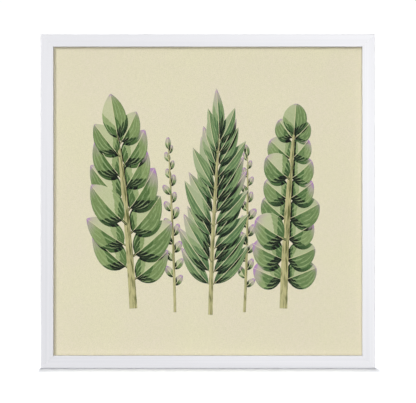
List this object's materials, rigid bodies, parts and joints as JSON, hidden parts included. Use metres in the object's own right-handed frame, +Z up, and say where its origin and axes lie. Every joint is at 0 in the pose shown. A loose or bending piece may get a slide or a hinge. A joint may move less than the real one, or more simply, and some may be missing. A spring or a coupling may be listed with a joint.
{
  "type": "framed print",
  "caption": "Square wall picture: a printed sheet behind glass in a flat white mitred wooden frame, with a sawtooth hanger and soft bumpers on its open back.",
  "frame": {"origin": "where the wall nail sits: the crown of the hanger's middle notch, in the plane of the wall", "axes": "+Z up, +Y from the picture into the wall, +X to the right of someone looking at the picture"},
  "size_m": [0.528, 0.0305, 0.528],
  "materials": {
    "white_painted_wood": "satin",
    "clear_glass": "polished",
    "printed_paper": "matte",
    "brown_fibreboard": "matte",
    "zinc_steel": "satin",
    "soft_bumper": "matte"
  },
  "bodies": {
    "root": {"rail_bottom": "white_painted_wood", "rail_left": "white_painted_wood", "rail_top": "white_painted_wood", "rail_right": "white_painted_wood", "glazing": "clear_glass", "print": "printed_paper", "backing_board": "brown_fibreboard", "tab_bottom_1": "zinc_steel", "tab_bottom_2": "zinc_steel", "tab_bottom_3": "zinc_steel", "tab_left_1": "zinc_steel", "tab_left_2": "zinc_steel", "tab_left_3": "zinc_steel", "tab_top_1": "zinc_steel", "tab_top_2": "zinc_steel", "tab_top_3": "zinc_steel", "tab_right_1": "zinc_steel", "tab_right_2": "zinc_steel", "tab_right_3": "zinc_steel", "vnail_bottom_left_outer": "zinc_steel", "vnail_bottom_left_inner": "zinc_steel", "vnail_top_left_outer": "zinc_steel", "vnail_top_left_inner": "zinc_steel", "vnail_top_right_outer": "zinc_steel", "vnail_top_right_inner": "zinc_steel", "vnail_bottom_right_outer": "zinc_steel", "vnail_bottom_right_inner": "zinc_steel", "hanger": "zinc_steel", "hanger_screw_left": "zinc_steel", "hanger_screw_right": "zinc_steel", "bumper_left": "soft_bumper", "bumper_right": "soft_bumper"}
  },
  "joints": []
}
